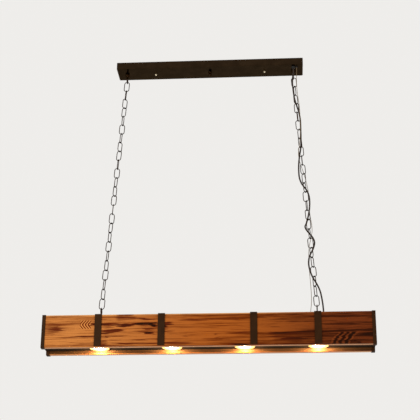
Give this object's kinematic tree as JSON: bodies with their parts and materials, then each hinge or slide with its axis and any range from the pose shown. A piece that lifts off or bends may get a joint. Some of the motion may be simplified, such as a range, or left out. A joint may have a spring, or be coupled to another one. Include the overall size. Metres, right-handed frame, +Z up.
{
  "type": "rectangular wooden chandelier",
  "caption": "Long hollow wooden beam with steel straps, hung on two chains from a ceiling canopy and lit by spots recessed in its underside.",
  "frame": {"origin": "on the ceiling, in the middle of the ceiling bracket's top face and over the middle of the beam", "axes": "+X along the beam towards the chain that carries the cord, +Y away from the front, +Z up"},
  "size_m": [1.2, 0.126, 1.164],
  "materials": {
    "bronze": "satin",
    "black_steel": "satin",
    "charred_wood": "satin",
    "plain_wood": "matte",
    "zinc_steel": "satin",
    "nickel": "polished",
    "black_plastic": "matte",
    "dark_jacket": "satin",
    "ground_jacket": "satin",
    "white_ceramic": "matte",
    "lamp_shell": "satin",
    "lens_glass": "gloss"
  },
  "bodies": {
    "canopy": {"ceiling_bracket": "zinc_steel", "canopy_studs": "zinc_steel", "canopy_pan": "bronze", "cap_nuts": "nickel", "centre_finial": "bronze", "loop_plates": "zinc_steel", "canopy_loop_left": "bronze", "canopy_loop_right": "bronze", "canopy_loop_nuts": "zinc_steel", "canopy_bushings": "black_plastic", "ceiling_terminal": "black_plastic", "ground_screw": "zinc_steel", "canopy_leads": "dark_jacket", "cord_upper_tail": "dark_jacket", "ground_upper_tail": "ground_jacket"},
    "left_top_link": {"left_top_link": "bronze"},
    "left_chain": {"left_chain": "bronze"},
    "left_bottom_link": {"left_bottom_link": "bronze"},
    "right_top_link": {"right_top_link": "bronze"},
    "right_chain": {"right_chain": "bronze", "cord_chain_run": "dark_jacket", "ground_chain_run": "ground_jacket"},
    "right_bottom_link": {"right_bottom_link": "bronze"},
    "beam": {"front_plank": "charred_wood", "rear_plank": "charred_wood", "top_board": "plain_wood", "end_cap_left": "black_steel", "end_cap_right": "black_steel", "cap_screws": "black_steel", "outer_strap_left": "black_steel", "outer_strap_right": "black_steel", "inner_strap_left": "black_steel", "inner_strap_right": "black_steel", "strap_screws": "black_steel", "beam_loop_left": "black_steel", "beam_loop_right": "black_steel", "beam_loop_nuts": "zinc_steel", "lamp_tray": "black_steel", "tray_screws": "zinc_steel", "spot_ring_1": "black_steel", "spot_ring_2": "black_steel", "spot_ring_3": "black_steel", "spot_ring_4": "black_steel", "lamp_holders": "white_ceramic", "holder_hangers": "zinc_steel", "beam_bushings": "black_plastic", "beam_terminal": "black_plastic", "beam_leads": "dark_jacket", "cord_lower_tail": "dark_jacket", "ground_lower_tail": "ground_jacket"},
    "lamp_1": {"lamp_1": "lamp_shell", "lens_1": "lens_glass"},
    "lamp_2": {"lamp_2": "lamp_shell", "lens_2": "lens_glass"},
    "lamp_3": {"lamp_3": "lamp_shell", "lens_3": "lens_glass"},
    "lamp_4": {"lamp_4": "lamp_shell", "lens_4": "lens_glass"}
  },
  "joints": [
    {"name": "swing", "type": "hinge", "parent": "canopy", "child": "right_top_link", "pos_m": [0.33, 0, -0.0632], "axis": [1, 0, 0], "range_deg": [-25, 25], "deforming": ["cord_upper_tail", "ground_upper_tail"]},
    {"name": "left_swing", "type": "hinge", "parent": "canopy", "child": "left_top_link", "pos_m": [-0.33, 0, -0.0632], "axis": [1, 0, 0], "range_deg": [-25, 25]},
    {"name": "sway", "type": "hinge", "parent": "right_top_link", "child": "right_chain", "pos_m": [0.33259, 0, -0.10071], "axis": [0, 1, 0], "range_deg": [-5, 5]},
    {"name": "left_sway", "type": "hinge", "parent": "left_top_link", "child": "left_chain", "pos_m": [-0.33259, 0, -0.10071], "axis": [0, 1, 0], "range_deg": [-5, 5]},
    {"name": "right_level", "type": "hinge", "parent": "right_chain", "child": "right_bottom_link", "pos_m": [0.39241, 0, -0.96675], "axis": [0, 1, 0], "range_deg": [-5, 5]},
    {"name": "left_level", "type": "hinge", "parent": "left_chain", "child": "left_bottom_link", "pos_m": [-0.39241, 0, -0.96675], "axis": [0, 1, 0], "range_deg": [-5, 5]},
    {"name": "tilt", "type": "hinge", "parent": "right_bottom_link", "child": "beam", "pos_m": [0.395, 0, -1.00426], "axis": [1, 0, 0], "range_deg": [-15, 15], "deforming": ["cord_lower_tail", "ground_lower_tail"]},
    {"name": "lamp_1_twist", "type": "hinge", "parent": "beam", "child": "lamp_1", "pos_m": [-0.396, 0, -1.14996], "axis": [0, 0, 1], "range_deg": [-20, 0]},
    {"name": "lamp_2_twist", "type": "hinge", "parent": "beam", "child": "lamp_2", "pos_m": [-0.132, 0, -1.14996], "axis": [0, 0, 1], "range_deg": [-20, 0]},
    {"name": "lamp_3_twist", "type": "hinge", "parent": "beam", "child": "lamp_3", "pos_m": [0.132, 0, -1.14996], "axis": [0, 0, 1], "range_deg": [-20, 0]},
    {"name": "lamp_4_twist", "type": "hinge", "parent": "beam", "child": "lamp_4", "pos_m": [0.396, 0, -1.14996], "axis": [0, 0, 1], "range_deg": [-20, 0]}
  ],
  "couplings": [
    {"joint": "left_swing", "follows": "swing", "ratio": 1},
    {"joint": "left_sway", "follows": "sway", "ratio": 1},
    {"joint": "right_level", "follows": "sway", "ratio": -0.84756},
    {"joint": "left_level", "follows": "sway", "ratio": -0.84756}
  ]
}
